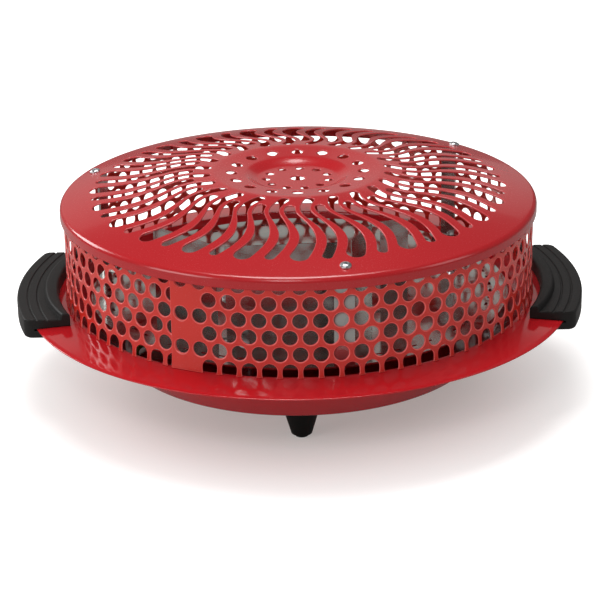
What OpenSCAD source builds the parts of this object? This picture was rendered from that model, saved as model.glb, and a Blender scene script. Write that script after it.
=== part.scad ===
// Electric brazier heater: a round enamelled tray on three feet carries a perforated guard band, a domed
// grille lid with S-shaped slots and two clipped-on grips. Inside, a bright floor plate holds the reflector
// dish with its two heating elements. Millimetres, +Z up, origin on the floor under the centre, front at -Y.

/* [Tray] */
// Diameter of the mouth, where the flange turns down into the pan
mouth_d = 330; // [318:1:344]
// Width of the flange, from the mouth to its outer edge
flange_w = 30; // [28:0.5:36]
// Height of the flange's outer edge above the floor
flange_h = 70; // [64:0.5:80]
// Rise of the flange from its outer edge to the mouth
flange_rise = 3; // [1:0.5:5]
// Run of the pan's wall, from its floor out to the mouth
pan_run = 37; // [34:0.5:40]
// Depth of the pan's underside below the flange's outer edge
pan_depth = 42; // [36:0.5:46]
// Thickness of the tray's sheet
tray_t = 1; // [0.8:0.1:1.4]
// Radius of the bend round the pan's floor
pan_bend = 5; // [3:0.5:8]

/* [Guard band] */
// Distance from the mouth to the outside of the band
band_gap = 2; // [1.6:0.1:4]
// Thickness of the band's sheet
band_t = 1; // [0.8:0.1:1.2]
// Diameter of the perforations
hole_d = 10; // [8:0.1:10.5]
// Perforations in one row round the band
columns = 78; // [74:1:80]
// Full rows of perforations above the teeth
full_rows = 5; // [4:1:6]
// Width of the notches between the teeth
notch_w = 10.2; // [8:0.1:10.6]
// Height of a tooth from its foot to the notch's centre
tooth_h = 4.6; // [3:0.1:7]
// Widening of a tooth at its foot, on each side
tooth_flare = 0.6; // [0:0.1:1]
// Outward flare of the band below its crease
band_flare = 1.6; // [0.5:0.1:2.5]
// Sheet left above the top row
band_edge = 0.7; // [0.5:0.1:2]
// Width of the plain margin at the lap seam
seam_w = 20; // [14:0.5:22]
// Direction of the lap's edge, from the front
seam_az = -30.3; // [-31:0.1:-29.8]

/* [Lid] */
// Thickness of the lid's sheet
lid_t = 1.2; // [1:0.1:1.5]
// Radius of the dome
dome_r = 675; // [600:5:800]
// Radius of the rounded shoulder
shoulder_r = 4; // [3.5:0.1:5]
// Straight height of the skirt
skirt_h = 4.9; // [3:0.1:8]
// Gap between the band and the skirt
skirt_gap = 1.1; // [0.8:0.1:1.8]
// Pairs of slots, one long and one wide in each
slot_pairs = 24; // [18:1:25]
// Width of the long slots
long_w = 6.7; // [5:0.1:7.5]
// Distance from the crown's edge to the long slots
long_start = 2.5; // [1:0.5:6]
// Distance from the crown's edge to the wide slots
wide_start = 14.5; // [13:0.5:20]
// Width of the wide slots at their inner ends
wide_w_in = 7; // [5:0.1:7.5]
// Width of the wide slots at their outer ends
wide_w_out = 12.5; // [9:0.1:13]
// Plain rim outside the slots
slot_rim = 21; // [19.5:0.5:30]
// Sideways swing of a slot's inner bend
swing_in = 5.3; // [2:0.1:6]
// Sideways swing of a slot's outer bend
swing_out = 6.6; // [2:0.1:7]
// Diameter where the dome turns down to the centre
crown_d = 119; // [114:1:120]
// Drop from there to the cup's rim
crown_drop = 2.3; // [1:0.1:3]
// Diameter of the cup's rim
cup_d = 73; // [68:1:76]
// Diameter of the cup's floor
cup_floor_d = 59; // [56:1:62]
// Depth of the cup
cup_depth = 3.8; // [2:0.1:6]
// Holes round the cup
outer_holes = 16; // [8:1:18]
// Diameter of the circle they lie on
outer_ring_d = 93.5; // [90:0.5:98]
// Diameter of those holes
outer_hole_d = 8; // [6:0.1:9]
// Holes in the cup's floor, round the centre
inner_holes = 11; // [8:1:12]
// Diameter of the circle they lie on
inner_ring_d = 44.8; // [42:0.2:47]
// Diameter of those holes
inner_hole_d = 6; // [4:0.1:7]
// Diameter of the hole in the centre
centre_hole_d = 10; // [6:0.5:16]

/* [Handles] */
// Length of a handle between its end faces
handle_l = 137; // [110:1:150]
// Height of the handle's shelf above the flange's edge
handle_up = 7.1; // [6.5:0.1:10]
// Depth of the handle below the flange's edge
handle_down = 6.5; // [5:0.1:9]
// Overhang past the flange's edge
handle_over = 8; // [7:0.5:14]
// Distance from the band to the handle
handle_gap = 6.4; // [5:0.2:8]
// Width of the raised inner ridge at its middle
ridge_w = 10; // [8:0.1:11]
// Width of the ridge at the handle's ends
ridge_end_w = 6.4; // [5:0.1:7.5]
// Height of the ridge above the shelf
ridge_h = 4.3; // [2:0.1:6]

/* [Feet] */
// Distance of the feet's axes from the edge of the pan's floor
foot_inset = 30; // [24:0.5:36]
// Diameter of a foot under the pan
foot_top_d = 29.5; // [24:0.5:32]
// Diameter of a foot at the bottom
foot_low_d = 14.5; // [12:0.5:18]
// Diameter of the pad under a foot
pad_d = 9; // [7:0.5:11]
// Height of the pad
pad_h = 2; // [1.5:0.1:4]

/* [Floor plate] */
// Gap between the tray's mouth and the floor plate
plate_gap = 15; // [13:0.1:17]
// Thickness of the plate, the dish and the shield
plate_t = 0.8; // [0.6:0.1:1.2]
// Depth of the plate's turned-down rim
plate_rim = 1.2; // [1:0.1:4]
// Drop of the plate's top below the tray's mouth
plate_drop = 0.5; // [0:0.1:2]
// Slits in the ring of air slits
slits = 64; // [48:1:72]
// Distance of that ring from the plate's edge
slit_inset = 12.5; // [12:0.1:18]
// Length of a slit
slit_l = 5; // [3:0.1:6]
// Width of a slit
slit_w = 2; // [1:0.1:2.5]
// Distance of the spacers' axes from the edge of the pan's floor
spacer_inset = 16; // [15:0.1:18]
// Diameter of a spacer
spacer_d = 10; // [8:0.5:12]

/* [Posts] */
// Direction of the first post, from the front
post_az = 11; // [8:0.5:14]
// Width of a post
post_w = 14; // [10:0.5:18]
// Thickness of a post
post_t = 1.5; // [1:0.1:2]
// Distance from the plate's edge to a post's outer face
post_gap = 2.5; // [2.2:0.1:4]
// Distance of the lid screws from the lid's edge
lid_screw_inset = 12; // [10.5:0.1:12.8]

/* [Shield] */
// Height of the shield's panels
shield_h = 66; // [40:0.5:72]
// Depth of the shield's base strip
shield_base = 12; // [11:0.5:16]
// Open gap at each corner, along a panel
corner_gap = 4; // [1:0.5:8]

/* [Elements] */
// Diameter of the window in the plate over the dish
window_d = 100; // [96:1:108]
// Width of the dish's flange under the plate
dish_flange = 12; // [10:0.5:14]
// Depth of the dish below the plate
dish_depth = 24; // [22:0.5:30]
// Diameter of the dish's floor
dish_floor_d = 86; // [80:1:90]
// Diameter of the elements' sheath
element_d = 8; // [6.5:0.1:9]
// Depth of the elements' axes below the plate's top
element_drop = 10; // [8:0.5:12]
// Bend radius of the inner element
inner_bend = 11; // [9:0.5:12]
// Bend radius of the outer element
outer_bend = 27; // [24:0.5:28]
// Distance of the elements' sheath ends from the centre
element_end = 64; // [58:0.5:70]
// Wall of the ceramic bushes
bush_wall = 1.8; // [1:0.1:2.5]
// Length of the ceramic bushes
bush_l = 14; // [12:0.5:18]
// Diameter of the terminal pins
pin_d = 3; // [2:0.1:4]
// Length of the terminal pins
pin_l = 12; // [8:0.5:16]

/* [Wiring] */
// Distance of the terminal block's middle from the edge of the pan's floor
block_inset = 33; // [30:0.5:37]
// Width of the block across the wires
block_w = 24; // [20:0.5:28]
// Height of the block
block_h = 18; // [14:0.5:22]
// Distance between the block's poles
pole_pitch = 12; // [10:0.5:13]
// Diameter of the wires
wire_d = 3; // [2.4:0.1:3.4]
// Diameter of the thermal cut-out
cutout_d = 16; // [14:0.5:18]
// Height of the thermal cut-out
cutout_h = 9; // [7:0.5:11]
// Distance of the cord inlet from the rear edge of the pan's floor
inlet_inset = 43; // [38:0.5:50]
// Diameter of the cord inlet's bore
inlet_d = 8; // [6:0.1:9]
// Length of that bore
inlet_l = 11; // [8:0.5:14]
// Diameter of the gland's stem through the pan
stem_d = 16; // [14:0.5:18]

/* [Hidden] */
$fn = 96;

// Clearance of a pin or screw in its hole, on the radius
clear = 0.2;
// Gap between two seated faces
seat = 0.15;
// Reach of a cut past the face that it opens
over = 1;

// Small fasteners: shank diameter, head diameter and head height
m4 = [4, 7.6, 2.6];
m3 = [3, 5.6, 2.2];

// Colours
enamel = [0.74, 0.13, 0.14];
bakelite = [0.09, 0.09, 0.09];
galvanised = [0.62, 0.64, 0.65];
zinc = [0.78, 0.79, 0.80];
ceramic = [0.90, 0.88, 0.82];
sheath = [0.40, 0.36, 0.32];
brass = [0.80, 0.66, 0.30];

// Heights and radii that several pieces share
mouth_r = mouth_d / 2;
flange_r = mouth_r + flange_w;
pan_r = mouth_r - pan_run;
band_r = mouth_r + band_gap;
plate_r = mouth_r - plate_gap;
foot_ring_r = pan_r - foot_inset;
spacer_ring_r = pan_r - spacer_inset;
slit_ring_r = plate_r - slit_inset;
pan_under = flange_h - pan_depth;
pan_floor = pan_under + tray_t;
mouth_z = flange_h + flange_rise;
plate_top = mouth_z - plate_drop;
plate_under = plate_top - plate_t;
mouth_bend = 3;
inlet_y = pan_r - inlet_inset;
// Depth that a screw bites into a foot, and into a spacer
foot_bite = (pan_under - pad_h) / 2;
spacer_bite = (plate_under - pan_floor) / 4;
// Height of a pad's peg in its foot
peg_h = 4;

// Height of the flange's upper face at a radius
function flange_z(r) = flange_h + flange_rise * (flange_r - r) / flange_w;

// Band: hole pattern on an equilateral grid, and its rows
hole_pitch = 2 * PI * band_r / columns;
row_pitch = hole_pitch * sin(60);
band_low = flange_z(band_r + band_flare - band_t) + seat;
tooth_row = band_low + tooth_h;
crease_z = tooth_row + row_pitch;
top_row = tooth_row + full_rows * row_pitch;
band_top = top_row + hole_d / 2 + band_edge;
// Height of a tooth's widened foot, and reach of a punch through the band
tooth_foot = 1.5;
punch_l = 14;
seam_arc = seam_w / band_r * 180 / PI;
lap_t = 0.9;
lap_fit = 0.05;
pitch_az = 360 / columns;
// Number of the first odd-row hole inside the lap, counted from the front
lap_step = ceil(seam_az / pitch_az);

// Lid: shoulder circle over the band's top edge, and the dome that runs into it
lid_r = band_r + skirt_gap + lid_t;
shoulder_in = shoulder_r - lid_t;
shoulder_c = [lid_r - shoulder_r,
  band_top + seat - sqrt(pow(shoulder_in, 2) - pow(shoulder_in - skirt_gap, 2))];
skirt_low = shoulder_c[1] - skirt_h;
dome_z = shoulder_c[1] - sqrt(pow(dome_r - shoulder_r, 2) - pow(shoulder_c[0], 2));
function dome_top(r) = dome_z + sqrt(dome_r * dome_r - r * r);
function dome_under(r) = dome_z + sqrt(pow(dome_r - lid_t, 2) - r * r);
shoulder_sweep = 60;
lid_screw_r = lid_r - lid_screw_inset;
crown_r = crown_d / 2;
cup_rim_z = dome_top(crown_r) - crown_drop;
cup_floor_z = cup_rim_z - cup_depth;

// Slots: radii of the middle line's ends and of the point where it changes side
long_in = crown_r + long_start;
wide_in = crown_r + wide_start;
wide_out = lid_r - slot_rim;
long_out = wide_out - 1.5;
wave_start = long_in + 2;
wave_end = long_out - 2;
wave_share = 0.406;
wave_mid = wave_start + wave_share * (wave_end - wave_start);
slot_steps = 12;
// Turn of each set from the front, as a share of its spacing
long_turn = 0.48;
wide_turn = -0.02;
inner_turn = 0.37;

// Handles
handle_in = band_r + handle_gap;
handle_out = flange_r + handle_over;
shelf_z = flange_h + handle_up;
handle_low = flange_h - handle_down;
handle_slot_r = flange_r + 3.5;
handle_screw_r = flange_r - 9;
handle_screw_az = 14;
end_round = 4;
// Ridge: set back from the inner edge. Its outer foot is an arc round a point off the centre, so that it is
// widest in the middle.
ridge_in = handle_in + 0.6;
ridge_z = shelf_z + ridge_h;
ridge_lean = 1;
ridge_mid_r = handle_in + ridge_w;
ridge_end_x = sqrt(pow(handle_in + ridge_end_w, 2) - pow(handle_l / 2, 2));
ridge_x = (pow(ridge_mid_r, 2) - pow(ridge_end_x, 2) - pow(handle_l / 2, 2))
  / (2 * (ridge_mid_r - ridge_end_x));
ridge_r = ridge_mid_r - ridge_x;
groove_at = [handle_out - 14.4, handle_out - 7.7];
groove_w = 1.6;
groove_depth = 0.8;
handle_edge = 2;

// Posts
post_r = plate_r + post_gap;
post_tab = 11;
post_screw_r = post_r - (post_tab + post_t) / 2;
lid_tilt = asin(lid_screw_r / dome_r);
// End of a post's head tab, past the lid screw
post_tip = lid_screw_r + 6.5;
// Reach of a screw's end past the sheet that it bites into
screw_past = 3;

// Shield: corners of its base line, from the left end to the right end, as shares of the plate's radius
shield_line = plate_r * [[-0.693, -0.333], [-0.36, -0.647], [0.233, -0.607], [0.353, -0.347], [0.533, -0.3]];
shield_screw_inset = 7;

// Dish and elements
window_r = window_d / 2;
dish_rim_r = window_r + dish_flange;
dish_floor = plate_under - dish_depth;
dish_screw_r = window_r + dish_flange / 2;
dish_screw_az = 22.5;
element_z = plate_top - element_drop;
bush_d = element_d + 2 * (clear + bush_wall);
// Radius of the dish's wall at the elements' height
dish_wall_r = dish_floor_d / 2 + (window_r - dish_floor_d / 2) * (element_z - dish_floor) / dish_depth;
bend_x = 4;
strap_t = 1;
strap_w = 8;

// Terminal block on the pan's floor: poles run along Y
poles = 4;
block_x = pan_r - block_inset;
block_l = poles * pole_pitch + 8;
function pole_y(i) = (i - (poles - 1) / 2) * pole_pitch;
pole_z = pan_floor + block_h * 0.45;
block_face = -block_x - block_w / 2;
cutout_at = [-block_x - 9, block_l / 2 + 16];
// Reach of the cut-out's ears and of their screws past its disc
ear_l = 9;
ear_screw = 5;
tab_size = [0.8, 6.3, 8];
tab_pitch = 9;
// Earth tag: ring under its screw, with a crimp for the wire
earth_at = [-block_x - 4, -block_l / 2 - 20];
tag_d = 9;
tag_t = 1;
tag_l = 8;
crimp = [tag_l, 4, 3];
// How far a wire runs straight out of the block, straight onto a pin and straight off a blade
block_reach = 26;
pin_reach = 30;
tab_reach = 12;

// Direction of the spacers from the front
spacer_az = 100;

// Puts children at a direction from the front, a distance from the centre and a height
module at(az, r, z) {
  rotate([0, 0, az - 90]) translate([r, 0, z]) children();
}

// The same, three times round
module three(az, r, z) {
  for (k = [0 : 2]) at(az + 120 * k, r, z) children();
}

// Unit vector to the right of the way from a to b
function right(a, b) = let (u = (b - a) / norm(b - a)) [u[1], -u[0]];

// Corner i of line p, moved by t to the right of the line
function beside(p, i, t) =
  i == 0 ? p[0] + t * right(p[0], p[1]) :
  i == len(p) - 1 ? p[i] + t * right(p[i - 1], p[i]) :
  let (n = right(p[i - 1], p[i]), m = right(p[i], p[i + 1])) p[i] + t * (n + m) / (1 + n * m);

// Outline of a sheet of thickness t on the right of line p
function sheet(p, t) = concat(p, [for (i = [len(p) - 1 : -1 : 0]) beside(p, i, t)]);

// Arc of radius r that rounds the corner b between a and c
function bend(a, b, c, r, n = 5) =
  let (u = (a - b) / norm(a - b), v = (c - b) / norm(c - b), half = acos(u * v) / 2,
    o = b + (u + v) / norm(u + v) * r / sin(half), p = b + u * r / tan(half), q = b + v * r / tan(half),
    from = atan2(p[1] - o[1], p[0] - o[0]), to = atan2(q[1] - o[1], q[0] - o[0]),
    turn = (to - from + 540) % 360 - 180)
  [for (i = [0 : n]) o + r * [cos(from + turn * i / n), sin(from + turn * i / n)]];

// Pan-head screw: seat of the head at z = 0, shank downwards
module screw(size, l) {
  translate([0, 0, -l]) cylinder(d = size[0], h = l + size[2] / 2);
  cylinder(d = size[1], h = size[2] * 0.45);
  translate([0, 0, size[2] * 0.45]) cylinder(d1 = size[1], d2 = size[1] * 0.62, h = size[2] * 0.55);
}

// Round hole from z = low up
module hole(d, low, h) {
  translate([0, 0, low]) cylinder(d = d, h = h);
}

// Tray and feet

module tray() {
  line = concat([[0, pan_floor]],
    bend([0, pan_floor], [pan_r, pan_floor], [mouth_r, mouth_z], pan_bend),
    bend([pan_r, pan_floor], [mouth_r, mouth_z], [flange_r, flange_h], mouth_bend),
    [[flange_r, flange_h]]);
  color(enamel) difference() {
    rotate_extrude($fn = 180) polygon(sheet(line, tray_t));
    three(0, foot_ring_r, 0) hole(m4[0] + 2 * clear, pan_under - over, tray_t + 2 * over);
    three(spacer_az, spacer_ring_r, 0) hole(m4[0] + 2 * clear, pan_under - over, tray_t + 2 * over);
    translate([0, inlet_y, 0]) hole(stem_d + 2 * clear, pan_under - over, tray_t + 2 * over);
    block_screw_spots() hole(m3[0] + 2 * clear, pan_under - over, tray_t + 2 * over);
    translate(earth_at) hole(m4[0] + 2 * clear, pan_under - over, tray_t + 2 * over);
    handle_screw_spots() hole(m4[0] + 2 * clear, handle_low, handle_down + flange_rise + over);
  }
}

module foot(k) {
  color(bakelite) at(120 * k, foot_ring_r, 0) difference() {
    foot_h = pan_under - pad_h;
    translate([0, 0, pad_h]) cylinder(d1 = foot_low_d, d2 = foot_top_d, h = foot_h);
    hole(m4[0] + 2 * clear, pan_under - foot_bite - over, foot_bite + 2 * over);
    hole(pad_d / 2 + 2 * clear, pad_h - over, peg_h + 2 * over);
  }
}

module foot_front() {
  foot(0);
}

module foot_rear_right() {
  foot(1);
}

module foot_rear_left() {
  foot(2);
}

module foot_pads() {
  color(bakelite) three(0, foot_ring_r, 0) {
    cylinder(d = pad_d, h = pad_h);
    cylinder(d = pad_d / 2, h = pad_h + peg_h);
  }
}

module foot_screws() {
  color(zinc) three(0, foot_ring_r, pan_floor) screw(m4, tray_t + foot_bite);
}

// Guard band

module round_hole(az, z) {
  at(az, band_r, z) rotate([0, 90, 0]) cylinder(d = hole_d, h = punch_l, center = true);
}

// Open-bottomed notch between two teeth, narrowed by their widened feet
module notch(az) {
  half = notch_w / 2;
  foot_half = half - tooth_flare * (tooth_foot + over) / tooth_foot;
  at(az, band_r, tooth_row) rotate([90, 0, 90]) linear_extrude(height = punch_l, center = true) union() {
    circle(d = notch_w);
    polygon([[-half, 0], [-half, tooth_foot - tooth_h], [-foot_half, -tooth_h - over],
      [foot_half, -tooth_h - over], [half, tooth_foot - tooth_h], [half, 0]]);
  }
}

// Rolled band. Rows are numbered up from the teeth: odd rows have a hole at the front, even ones lie half a
// pitch on.
module rolled_band() {
  difference() {
    rotate_extrude($fn = 180) polygon(sheet([[band_r + band_flare, band_low], [band_r, crease_z],
      [band_r, band_top]], -band_t));
    for (row = [1 : full_rows], k = [0 : columns - 1])
      round_hole((k + (row % 2 == 0 ? 0.5 : 0)) * pitch_az, tooth_row + row * row_pitch);
    for (k = [0 : columns - 1]) notch((k + 0.5) * pitch_az);
  }
}

// Plain margin of the outer end, where the band's ends lap. Only the odd rows' holes go through it.
module lap_margin() {
  difference() {
    rotate([0, 0, seam_az - 90]) rotate_extrude(angle = seam_arc, $fn = 180)
      polygon(sheet([[band_r + band_flare + lap_fit, band_low + seat], [band_r + lap_fit, crease_z],
        [band_r + lap_fit, band_top - seat]], lap_t));
    for (row = [1 : 2 : full_rows], step = [lap_step, lap_step + 1])
      round_hole(step * pitch_az, tooth_row + row * row_pitch);
  }
}

module perforated_band() {
  color(enamel) {
    rolled_band();
    lap_margin();
  }
}

// Lid

// Sideways place of a slot's middle line at radius p: one bend each way
function sway(p) =
  p < wave_mid ? -swing_in * sin(180 * (p - wave_start) / (wave_mid - wave_start)) :
  swing_out * sin(180 * (p - wave_mid) / (wave_end - wave_mid));
function sway_slope(p) = (sway(p + 0.1) - sway(p - 0.1)) / 0.2;

// Point w to the left of the middle line at radius p
function slot_side(p, w) = let (a = atan(sway_slope(p))) [p, sway(p)] + w * [-sin(a), cos(a)];

// Round end of a slot, outwards for way = 0 and inwards for way = 180
function slot_end(p, w, way) = let (a = atan(sway_slope(p)) + way + 90)
  [for (i = [1 : 5]) [p, sway(p)] + w * [cos(a - 30 * i), sin(a - 30 * i)]];

// Slot from the tip at radius p0 to the tip at radius p1, w0 and w1 wide there
module slot(p0, p1, w0, w1) {
  a = p0 + w0 / 2;
  b = p1 - w1 / 2;
  function w(i) = (w0 + (w1 - w0) * i / slot_steps) / 2;
  function p(i) = a + (b - a) * i / slot_steps;
  left = [for (i = [0 : slot_steps]) slot_side(p(i), w(i))];
  right = [for (i = [slot_steps : -1 : 0]) slot_side(p(i), -w(i))];
  polygon(concat(left, slot_end(b, w1 / 2, 0), right, slot_end(a, w0 / 2, 180)));
}

// Section of all that lies under the lid's face, taken in by t
module under_lid(t) {
  low = t == 0 ? skirt_low : skirt_low - over;
  r = shoulder_r - t;
  reach = 5 * shoulder_r;
  high = dome_top(0) + 2 * reach;
  arc = [for (i = [0 : 5]) shoulder_c + r * [cos(i * shoulder_sweep / 5), sin(i * shoulder_sweep / 5)]];
  past = arc[5] + reach * [-sin(shoulder_sweep), cos(shoulder_sweep)];
  plateau = crown_drop / (crown_r - cup_d / 2);
  edge = crown_r + reach;
  difference() {
    intersection() {
      translate([0, dome_z]) circle(r = dome_r - t, $fn = 720);
      polygon(concat([[0, low], [lid_r - t, low]], arc, [past, [past[0], high], [0, high]]));
    }
    translate([0, -t]) polygon([[-over, cup_floor_z], [cup_floor_d / 2, cup_floor_z], [cup_d / 2, cup_rim_z],
      [edge, dome_top(crown_r) + reach * plateau], [edge, high], [-over, high]]);
  }
}

module lid_grille() {
  pair_az = 360 / slot_pairs;
  cut_z = skirt_low;
  cut_h = 2 * (dome_top(0) - skirt_low);
  color(enamel) difference() {
    rotate_extrude($fn = 180) difference() {
      under_lid(0);
      under_lid(lid_t);
    }
    for (k = [0 : slot_pairs - 1]) at((k + long_turn) * pair_az, 0, cut_z) linear_extrude(height = cut_h)
      slot(long_in, long_out, long_w, long_w);
    for (k = [0 : slot_pairs - 1]) at((k + wide_turn) * pair_az, 0, cut_z) linear_extrude(height = cut_h)
      slot(wide_in, wide_out, wide_w_in, wide_w_out);
    for (k = [0 : outer_holes - 1]) at(360 / outer_holes * k, outer_ring_d / 2, 0)
      hole(outer_hole_d, cut_z, cut_h);
    for (k = [0 : inner_holes - 1]) at(360 / inner_holes * (k + inner_turn), inner_ring_d / 2, 0)
      hole(inner_hole_d, cut_z, cut_h);
    hole(centre_hole_d, cut_z, cut_h);
    three(post_az, lid_screw_r, dome_top(lid_screw_r)) rotate([0, lid_tilt, 0])
      hole(m4[0] + 2 * clear, -4 * lid_t, 8 * lid_t);
  }
}

module lid_screws() {
  color(zinc) three(post_az, lid_screw_r, dome_top(lid_screw_r)) rotate([0, lid_tilt, 0])
    translate([0, 0, clear / 4]) screw(m4, lid_t + post_t + screw_past);
}

// Handles

// Places of the screws that clamp the handles, two on each side
module handle_screw_spots() {
  for (side = [90, 270], turn = [-1, 1]) at(side + turn * handle_screw_az, handle_screw_r, 0) children();
}

// Shallow groove along the shelf
function groove(r) = [[r - groove_w / 2, shelf_z], [r, shelf_z - groove_depth], [r + groove_w / 2, shelf_z]];

// Two jaws round the flange, joined outside its edge, in section
module jaws() {
  slot_gap = tray_t + 2 * seat;
  in_z = flange_z(handle_in) + seat;
  out_z = flange_z(handle_slot_r) + seat;
  c = handle_edge;
  polygon(concat([[handle_in, in_z]],
    bend([handle_in, flange_h], [handle_in, shelf_z], [handle_out, shelf_z], c / 4),
    groove(groove_at[0]), groove(groove_at[1]),
    bend([handle_in, shelf_z], [handle_out, shelf_z], [handle_out, handle_low], c),
    bend([handle_out, shelf_z], [handle_out, handle_low], [handle_in, handle_low], c),
    bend([handle_out, handle_low], [handle_in, handle_low], [handle_in, shelf_z], c / 2),
    [[handle_in, in_z - slot_gap], [handle_slot_r, out_z - slot_gap], [handle_slot_r, out_z]]));
}

// Ridge along the inside of the shelf, with both upper edges rounded
module ridge() {
  low = shelf_z - over;
  inner_round = bend([ridge_in, low], [ridge_in, ridge_z], [handle_out, ridge_z], handle_edge);
  outer_round = bend([ridge_r, shelf_z], [ridge_r - ridge_lean, ridge_z], [0, ridge_z], handle_edge);
  intersection() {
    rotate_extrude($fn = 180)
      polygon(concat([[ridge_in, low]], inner_round, [[handle_out, ridge_z], [handle_out, low]]));
    translate([ridge_x, 0, 0]) rotate_extrude($fn = 180)
      polygon(concat([[0, low], [ridge_r, low], [ridge_r, shelf_z]], outer_round, [[0, ridge_z]]));
  }
}

// Plan of a handle: square ends with rounded outer corners
module handle_plan() {
  half = handle_l / 2 - end_round;
  turn = asin(half / (handle_out - end_round));
  c = [(handle_out - end_round) * cos(turn), half];
  function on_corner(a) = c + end_round * [cos(a), sin(a)];
  corner = [for (i = [0 : 5]) on_corner(turn + (90 - turn) * i / 5)];
  far = 1.1 * corner[0];
  polygon(concat([[0, -handle_l / 2]], [for (i = [5 : -1 : 0]) [corner[i][0], -corner[i][1]]],
    [[far[0], -far[1]], [handle_out * 1.2, 0], far], corner, [[0, handle_l / 2]]));
}

module handle(side) {
  color(bakelite) difference() {
    rotate([0, 0, side - 90]) intersection() {
      union() {
        rotate_extrude($fn = 180) jaws();
        ridge();
      }
      linear_extrude(height = 2 * flange_h) handle_plan();
    }
    handle_screw_spots() {
      hole(m4[0] + 2 * clear, handle_low - over, shelf_z - 2 - handle_low + over);
      hole(m4[1] + 4 * clear, handle_low - over, m4[2] + over);
    }
  }
}

module handle_right() {
  handle(90);
}

module handle_left() {
  handle(270);
}

module handle_screws() {
  color(zinc) handle_screw_spots() translate([0, 0, handle_low + m4[2]]) rotate([180, 0, 0])
    screw(m4, shelf_z - screw_past - handle_low - m4[2]);
}

// Floor plate and what holds it

module floor_plate() {
  color(galvanised) difference() {
    rotate_extrude($fn = 180) polygon(sheet([[window_r, plate_top], [plate_r, plate_top],
      [plate_r, plate_top - plate_rim]], plate_t));
    for (k = [0 : slits - 1]) at(360 / slits * k, slit_ring_r, plate_top)
      cube([slit_w, slit_l, 2 * (plate_t + over)], center = true);
    three(spacer_az, spacer_ring_r, 0) hole(m4[0] + 2 * clear, plate_under - over, plate_t + 2 * over);
    three(post_az, post_screw_r, 0) hole(m4[0] + 2 * clear, plate_under - over, plate_t + 2 * over);
    dish_screw_spots() hole(m4[0] + 2 * clear, plate_under - over, plate_t + 2 * over);
    shield_screw_spots() hole(m3[0] + 2 * clear, plate_under - over, plate_t + 2 * over);
    cutout_screw_spots() hole(m3[0] + 2 * clear, plate_under - over, plate_t + 2 * over);
  }
}

module plate_spacers() {
  color(galvanised) three(spacer_az, spacer_ring_r, pan_floor) difference() {
    cylinder(d = spacer_d, h = plate_under - pan_floor);
    hole(m4[0] + 2 * clear, -over, plate_under - pan_floor + 2 * over);
  }
}

module spacer_screws() {
  color(zinc) three(spacer_az, spacer_ring_r, pan_under) rotate([180, 0, 0]) screw(m4, tray_t + spacer_bite);
}

module plate_screws() {
  color(zinc) three(spacer_az, spacer_ring_r, plate_top) screw(m4, plate_t + spacer_bite);
}

// Folded strip: foot tab on the plate, upright outside its edge, head tab under the lid's slope
module post(k) {
  slope = tan(lid_tilt);
  head = dome_under(lid_screw_r) - seat - post_t / cos(lid_tilt);
  line = [[post_r - post_tab, plate_top], [post_r, plate_top],
    [post_r, head + slope * (lid_screw_r - post_r)], [post_tip, head - slope * (post_tip - lid_screw_r)]];
  color(galvanised) at(post_az + 120 * k, 0, 0) difference() {
    rotate([90, 0, 0]) linear_extrude(height = post_w, center = true) polygon(sheet(line, -post_t));
    translate([post_screw_r, 0, 0]) hole(m4[0] + 2 * clear, plate_top - over, post_t + 2 * over);
    translate([lid_screw_r, 0, dome_top(lid_screw_r)]) rotate([0, lid_tilt, 0])
      hole(m4[0] + 2 * clear, -4 * post_t, 6 * post_t);
  }
}

module post_front() {
  post(0);
}

module post_rear_right() {
  post(1);
}

module post_rear_left() {
  post(2);
}

module post_screws() {
  color(zinc) three(post_az, post_screw_r, plate_top + post_t) screw(m4, post_t + plate_t + screw_past);
}

// Places of the shield's screws, in the middle of each long stretch of its base strip
module shield_screw_spots() {
  for (i = [0 : 2]) {
    a = shield_line[i];
    b = shield_line[i + 1];
    translate((a + b) / 2 - shield_screw_inset * right(a, b)) children();
  }
}

// Folded shield at the front: one panel along each stretch of its base strip, open at the corners
module front_shield() {
  color(galvanised) difference() {
    union() {
      translate([0, 0, plate_top]) linear_extrude(height = plate_t) polygon(sheet(shield_line, -shield_base));
      for (i = [0 : len(shield_line) - 2]) {
        way = shield_line[i + 1] - shield_line[i];
        translate([shield_line[i][0], shield_line[i][1], plate_top]) rotate([0, 0, atan2(way[1], way[0])])
          translate([corner_gap, plate_t, plate_t / 2]) cube([norm(way) - 2 * corner_gap, plate_t, shield_h]);
      }
    }
    shield_screw_spots() hole(m3[0] + 2 * clear, plate_top - over, plate_t + 2 * over);
  }
}

module shield_screws() {
  color(zinc) shield_screw_spots() translate([0, 0, plate_top + plate_t]) screw(m3, 2 * plate_t + screw_past);
}

// Dish and heating elements

module dish_screw_spots() {
  for (k = [0 : 3]) at(dish_screw_az + 90 * k, dish_screw_r, 0) children();
}

// Places of the four element legs, as seen along X
module legs() {
  for (y = [-outer_bend, -inner_bend, inner_bend, outer_bend])
    translate([0, y, element_z]) rotate([0, -90, 0]) children();
}

// Distance from the centre to the dish's wall along a leg
function wall_x(y) = sqrt(dish_wall_r * dish_wall_r - y * y);

module reflector_dish() {
  line = [[0, dish_floor], [dish_floor_d / 2, dish_floor], [window_r, plate_under],
    [dish_rim_r, plate_under]];
  color(galvanised) difference() {
    rotate_extrude($fn = 180) polygon(sheet(line, plate_t));
    dish_screw_spots() hole(m4[0] + 2 * clear, plate_under - plate_t - over, plate_t + 2 * over);
    legs() cylinder(d = bush_d + 2 * clear, h = window_r + over);
  }
}

module dish_screws() {
  color(zinc) dish_screw_spots() translate([0, 0, plate_top]) screw(m4, 2 * plate_t + screw_past);
}

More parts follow.
